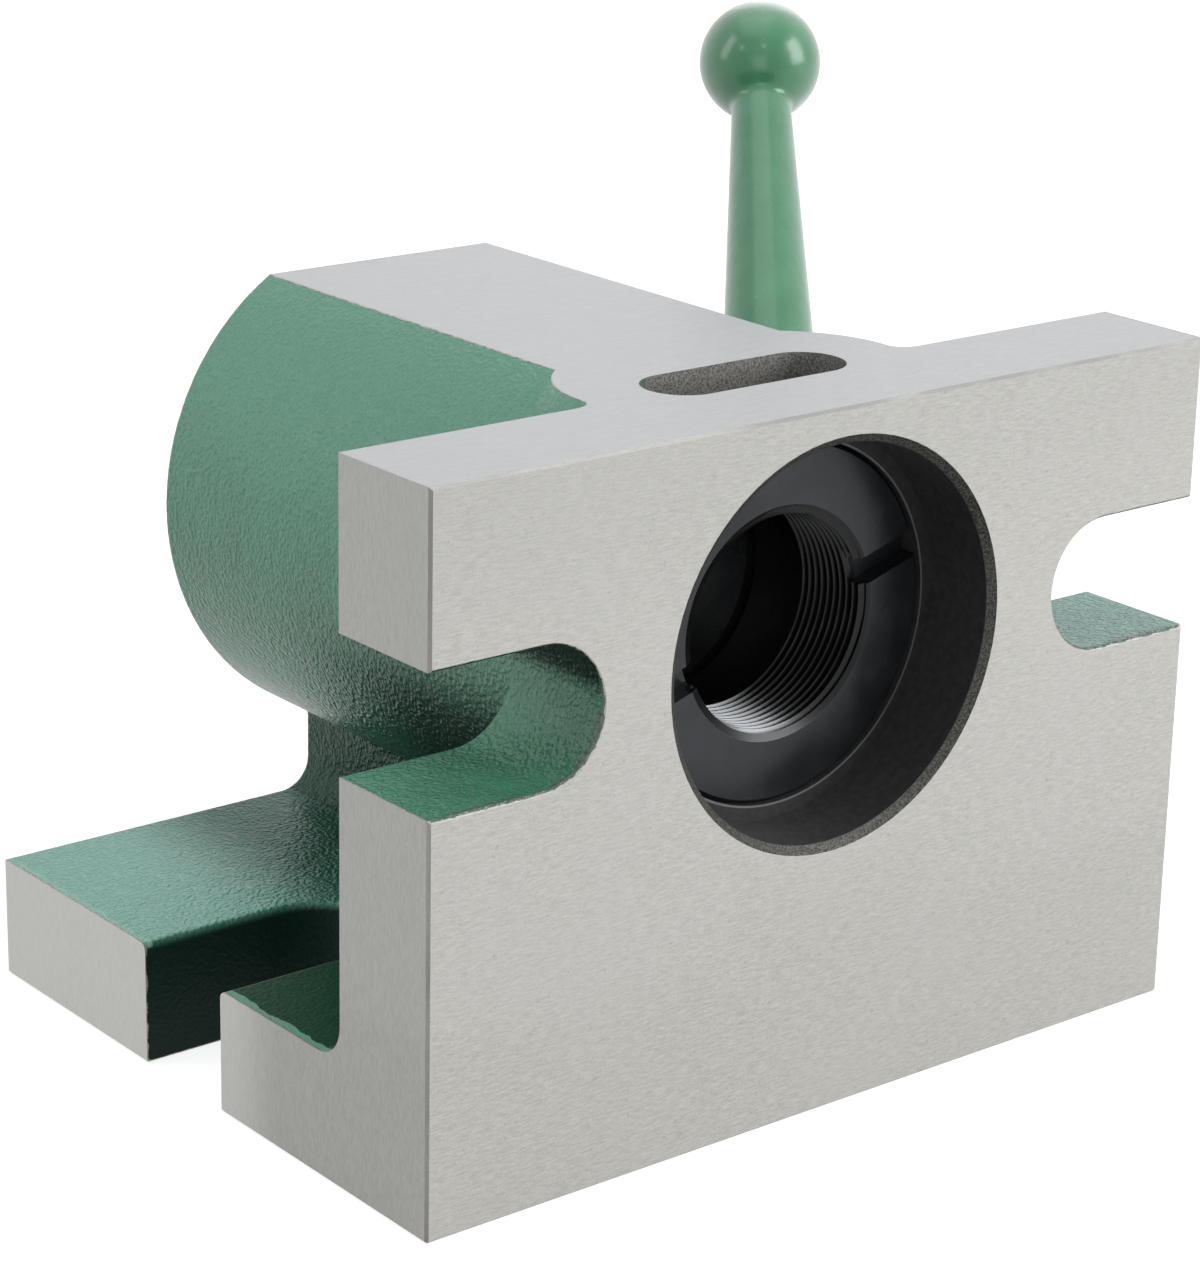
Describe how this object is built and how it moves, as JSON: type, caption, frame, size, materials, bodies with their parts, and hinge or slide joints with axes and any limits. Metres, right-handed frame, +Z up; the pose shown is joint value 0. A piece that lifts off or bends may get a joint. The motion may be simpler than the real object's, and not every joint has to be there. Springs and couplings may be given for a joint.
{
  "type": "collet fixture",
  "caption": "Cast collet fixture with a slotted plate, slotted base and flat-topped barrel; a ball lever turns a cam that draws the threaded nut and closes the collet.",
  "frame": {"origin": "under the middle of the base: centre of the base's width, half way from the plate's face to the nose, on the surface it stands on", "axes": "+Z up, +Y along the bore from the plate's face to the collet's nose, +X to the right as the plate is seen, toward the lever"},
  "size_m": [0.1642, 0.1299, 0.1291],
  "materials": {
    "cast_body": "ground grey iron on the machined faces, glossy green paint on the cast ones",
    "green_paint": "glossy green paint on iron",
    "hardened_steel": "hardened and ground steel",
    "black_steel": "black oxide steel, lightly oiled"
  },
  "bodies": {
    "frame": {"body_casting": "cast_body", "collet_seat": "hardened_steel", "collet_key": "hardened_steel", "shaft_lock_screw": "black_steel"},
    "cam_lever": {"lever": "green_paint", "lever_set_screw": "black_steel", "cam_shaft": "hardened_steel"},
    "draw_tube": {"draw_sleeve": "black_steel", "thrust_washer": "hardened_steel", "nut_retaining_ring": "hardened_steel"},
    "nut": {"draw_nut": "black_steel"}
  },
  "joints": [
    {"name": "lever_swing", "type": "hinge", "parent": "frame", "child": "cam_lever", "pos_m": [0.0518, 0.0219, 0.0667], "axis": [1, 0, 0], "range_deg": [-65, 45]},
    {"name": "draw_slide", "type": "slide", "parent": "frame", "child": "draw_tube", "axis": [0, 1, 0], "range_m": [-0.00195, 0.00135]},
    {"name": "nut_spin", "type": "hinge", "parent": "draw_tube", "child": "nut", "pos_m": [0, -0.0314, 0.0667], "axis": [0, 1, 0], "continuous": true}
  ],
  "couplings": [
    {"joint": "draw_slide", "follows": "lever_swing", "m_per_rad": 0.0017067}
  ]
}
